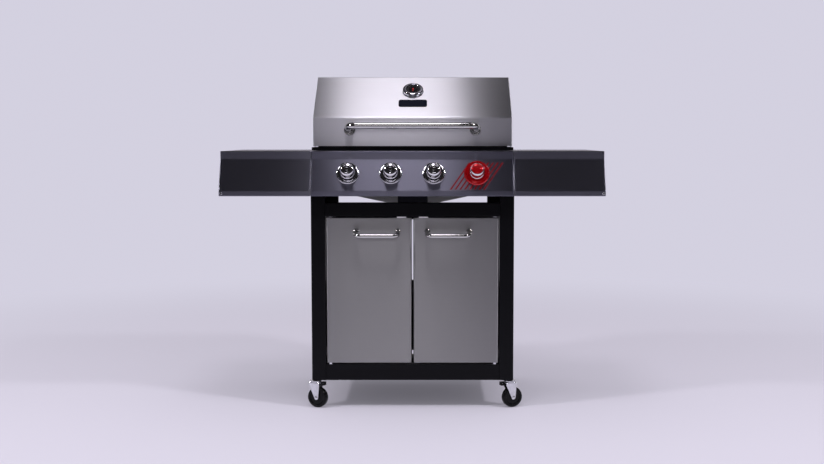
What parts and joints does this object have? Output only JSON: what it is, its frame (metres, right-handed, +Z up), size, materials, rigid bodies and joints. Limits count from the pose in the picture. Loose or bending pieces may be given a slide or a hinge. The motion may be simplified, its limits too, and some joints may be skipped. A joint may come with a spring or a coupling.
{
  "type": "gas barbecue grill",
  "caption": "Gas barbecue grill on a closed cart with hinged hood, side shelves, control knobs, double doors and swivel casters.",
  "frame": {"origin": "on the floor, under the middle of the bounding box", "axes": "+Z up, the front with the knobs and doors faces -Y, +X is the user's right"},
  "size_m": [1.276, 0.5954, 1.125],
  "materials": {
    "stainless": "brushed",
    "black_steel": "satin powder coat",
    "black_enamel": "gloss enamel",
    "tub_steel": "aluminised, matt",
    "chrome": "polished",
    "red_bezel": "gloss enamel",
    "red_knob": "gloss enamel and chrome",
    "burner_steel": "plain",
    "cast_iron": "seasoned",
    "brass": "machined",
    "zinc": "bright zinc",
    "black_rubber": "smooth",
    "black_plastic": "fine grain",
    "badge_black": "gloss",
    "dial_white": "matt print",
    "needle_red": "satin"
  },
  "bodies": {
    "cart": {"legs": "black_steel", "leg_plugs": "black_plastic", "front_rails": "black_steel", "frame_rails": "black_steel", "rear_panel": "black_steel", "side_panels": "black_steel", "bottom_shelf": "black_steel", "magnet_catch": "black_plastic", "hinge_pins": "zinc", "firebox": "tub_steel", "firebox_rim": "black_enamel", "firebox_supports": "black_steel", "burners": "burner_steel", "control_panel": "stainless", "gas_manifold": "zinc", "gas_valves": "brass", "knob_bezels": "chrome", "knob_bezel_red": "red_bezel", "shelf_right": "stainless", "shelf_left": "stainless", "shelf_fascias": "stainless", "shelf_arms": "black_steel", "screws": "zinc", "caster_stems": "zinc"},
    "lid": {"lid_shell": "stainless", "lid_ends": "stainless", "lid_handle": "chrome", "lid_screws": "zinc", "gauge_housing": "chrome", "gauge_dial": "dial_white", "badge_plate": "badge_black"},
    "needle": {"gauge_needle": "needle_red"},
    "door_left": {"door_left": "stainless", "door_handle_left": "chrome"},
    "door_right": {"door_right": "stainless", "door_handle_right": "chrome"},
    "grease_tray": {"grease_tray": "tub_steel"},
    "flame_tamers": {"flame_tamers": "burner_steel"},
    "grate_left": {"grate_left": "cast_iron"},
    "grate_right": {"grate_right": "cast_iron"},
    "warming_rack": {"warming_rack": "chrome"},
    "stem_1": {"valve_stem_1": "brass"},
    "knob_1": {"knob_1": "chrome"},
    "stem_2": {"valve_stem_2": "brass"},
    "knob_2": {"knob_2": "chrome"},
    "stem_3": {"valve_stem_3": "brass"},
    "knob_3": {"knob_3": "chrome"},
    "stem_red": {"valve_stem_red": "brass"},
    "knob_red": {"knob_red": "red_knob"},
    "fork_front_left": {"fork_front_left": "zinc"},
    "wheel_front_left": {"wheel_front_left": "black_rubber"},
    "fork_front_right": {"fork_front_right": "zinc"},
    "wheel_front_right": {"wheel_front_right": "black_rubber"},
    "fork_rear_left": {"fork_rear_left": "zinc"},
    "wheel_rear_left": {"wheel_rear_left": "black_rubber"},
    "fork_rear_right": {"fork_rear_right": "zinc"},
    "wheel_rear_right": {"wheel_rear_right": "black_rubber"},
    "brake_left": {"brake_left": "black_plastic"},
    "brake_right": {"brake_right": "black_plastic"}
  },
  "joints": [
    {"name": "lid_hinge", "type": "hinge", "parent": "cart", "child": "lid", "pos_m": [0, 0.25567, 0.905], "axis": [-1, 0, 0], "range_deg": [0, 85]},
    {"name": "gauge_needle_turn", "type": "hinge", "parent": "lid", "child": "needle", "pos_m": [0, -0.06658, 1.07177], "axis": [0, -0.6094, 0.7928], "range_deg": [-120, 120], "stiffness_Nm_per_rad": 0.0005},
    {"name": "door_left_hinge", "type": "hinge", "parent": "cart", "child": "door_left", "pos_m": [-0.277, -0.21333, 0.4], "axis": [0, 0, -1], "range_deg": [0, 110]},
    {"name": "door_right_hinge", "type": "hinge", "parent": "cart", "child": "door_right", "pos_m": [0.277, -0.21333, 0.4], "axis": [0, 0, 1], "range_deg": [0, 110]},
    {"name": "grease_tray_slide", "type": "slide", "parent": "cart", "child": "grease_tray", "axis": [0, 1, 0], "range_m": [0, 0.3]},
    {"name": "flame_tamers_lift", "type": "slide", "parent": "cart", "child": "flame_tamers", "axis": [0, 0, 1], "range_m": [0, 0.012]},
    {"name": "grate_left_lift", "type": "slide", "parent": "cart", "child": "grate_left", "axis": [0, 0, 1], "range_m": [0, 0.08]},
    {"name": "grate_right_lift", "type": "slide", "parent": "cart", "child": "grate_right", "axis": [0, 0, 1], "range_m": [0, 0.08]},
    {"name": "warming_rack_lift", "type": "slide", "parent": "cart", "child": "warming_rack", "axis": [0, 0, 1], "range_m": [0, 0.06]},
    {"name": "knob_1_push", "type": "slide", "parent": "cart", "child": "stem_1", "axis": [0, 0.9266, -0.376], "range_m": [0, 0.003], "stiffness_N_per_m": 800, "springref_m": -0.004},
    {"name": "knob_1_turn", "type": "hinge", "parent": "stem_1", "child": "knob_1", "pos_m": [-0.2139, -0.249, 0.797], "axis": [0, -0.9266, 0.376], "range_deg": [0, 180]},
    {"name": "knob_2_push", "type": "slide", "parent": "cart", "child": "stem_2", "axis": [0, 0.9266, -0.376], "range_m": [0, 0.003], "stiffness_N_per_m": 800, "springref_m": -0.004},
    {"name": "knob_2_turn", "type": "hinge", "parent": "stem_2", "child": "knob_2", "pos_m": [-0.0713, -0.249, 0.797], "axis": [0, -0.9266, 0.376], "range_deg": [0, 180]},
    {"name": "knob_3_push", "type": "slide", "parent": "cart", "child": "stem_3", "axis": [0, 0.9266, -0.376], "range_m": [0, 0.003], "stiffness_N_per_m": 800, "springref_m": -0.004},
    {"name": "knob_3_turn", "type": "hinge", "parent": "stem_3", "child": "knob_3", "pos_m": [0.0713, -0.249, 0.797], "axis": [0, -0.9266, 0.376], "range_deg": [0, 180]},
    {"name": "knob_red_push", "type": "slide", "parent": "cart", "child": "stem_red", "axis": [0, 0.9266, -0.376], "range_m": [0, 0.003], "stiffness_N_per_m": 800, "springref_m": -0.004},
    {"name": "knob_red_turn", "type": "hinge", "parent": "stem_red", "child": "knob_red", "pos_m": [0.2139, -0.249, 0.797], "axis": [0, -0.9266, 0.376], "range_deg": [0, 180]},
    {"name": "swivel_front_left", "type": "hinge", "parent": "cart", "child": "fork_front_left", "pos_m": [-0.33, -0.19833, 0.0877], "axis": [0, 0, 1], "continuous": true},
    {"name": "roll_front_left", "type": "hinge", "parent": "fork_front_left", "child": "wheel_front_left", "pos_m": [-0.32253, -0.2012, 0.035], "axis": [0.3584, 0.9336, 0], "continuous": true},
    {"name": "swivel_front_right", "type": "hinge", "parent": "cart", "child": "fork_front_right", "pos_m": [0.33, -0.19833, 0.0877], "axis": [0, 0, 1], "continuous": true},
    {"name": "roll_front_right", "type": "hinge", "parent": "fork_front_right", "child": "wheel_front_right", "pos_m": [0.33747, -0.19547, 0.035], "axis": [-0.3584, 0.9336, 0], "continuous": true},
    {"name": "swivel_rear_left", "type": "hinge", "parent": "cart", "child": "fork_rear_left", "pos_m": [-0.33, 0.27367, 0.0877], "axis": [0, 0, 1], "continuous": true},
    {"name": "roll_rear_left", "type": "hinge", "parent": "fork_rear_left", "child": "wheel_rear_left", "pos_m": [-0.33752, 0.27093, 0.035], "axis": [0.342, -0.9397, 0], "continuous": true},
    {"name": "swivel_rear_right", "type": "hinge", "parent": "cart", "child": "fork_rear_right", "pos_m": [0.33, 0.27367, 0.0877], "axis": [0, 0, 1], "continuous": true},
    {"name": "roll_rear_right", "type": "hinge", "parent": "fork_rear_right", "child": "wheel_rear_right", "pos_m": [0.33752, 0.27093, 0.035], "axis": [0.342, 0.9397, 0], "continuous": true},
    {"name": "brake_left_press", "type": "hinge", "parent": "fork_front_left", "child": "brake_left", "pos_m": [-0.31693, -0.20335, 0.0792], "axis": [0.3584, 0.9336, 0], "range_deg": [0, 10], "stiffness_Nm_per_rad": 2, "springref_deg": -5.73},
    {"name": "brake_right_press", "type": "hinge", "parent": "fork_front_right", "child": "brake_right", "pos_m": [0.31693, -0.20335, 0.0792], "axis": [0.3584, -0.9336, 0], "range_deg": [0, 10], "stiffness_Nm_per_rad": 2, "springref_deg": -5.73}
  ]
}
